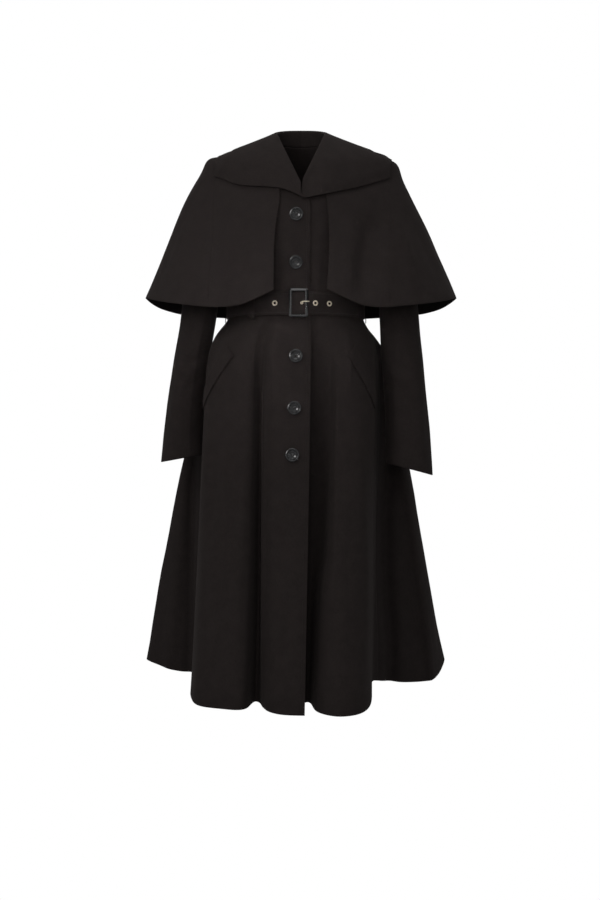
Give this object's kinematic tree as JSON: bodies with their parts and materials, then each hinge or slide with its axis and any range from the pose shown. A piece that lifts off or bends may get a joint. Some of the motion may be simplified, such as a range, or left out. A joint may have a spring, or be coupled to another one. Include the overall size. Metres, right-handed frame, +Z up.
{
  "type": "cape coat",
  "caption": "Belted wool coat in its worn form: spread collar, open-front shoulder cape, long sleeves, buckled waist and a flared folded skirt.",
  "frame": {"origin": "base of the neck, midway between the shoulders, where a wearer carries the coat", "axes": "+Z up, the front of the coat faces -Y, +X is the wearer's left"},
  "size_m": [0.6624, 0.5665, 1.1898],
  "materials": {
    "wool": "matt felted wool",
    "button": "glossy",
    "buckle": "satin gloss",
    "eyelet": "polished pale plating"
  },
  "bodies": {
    "root": {"bodice_front_right": "wool", "bodice_front_left": "wool", "bodice_back": "wool", "skirt_front_right": "wool", "skirt_front_left": "wool", "skirt_back_right": "wool", "skirt_back_left": "wool", "sleeve_right_upper": "wool", "sleeve_right_under": "wool", "sleeve_left_upper": "wool", "sleeve_left_under": "wool", "cape_front_right": "wool", "cape_side_right": "wool", "cape_back": "wool", "cape_side_left": "wool", "cape_front_left": "wool", "collar_right": "wool", "collar_left": "wool", "pocket_welt_right": "wool", "pocket_welt_left": "wool", "belt_strap": "wool", "belt_carrier_front_right": "wool", "belt_carrier_side_right": "wool", "belt_carrier_side_left": "wool", "buckle_frame": "buckle", "buckle_centre_bar": "buckle", "prong": "eyelet", "eyelet_1": "eyelet", "eyelet_2": "eyelet", "eyelet_3": "eyelet", "eyelet_4": "eyelet", "button_1": "button", "button_2": "button", "button_3": "button", "button_4": "button", "button_5": "button"}
  },
  "joints": []
}
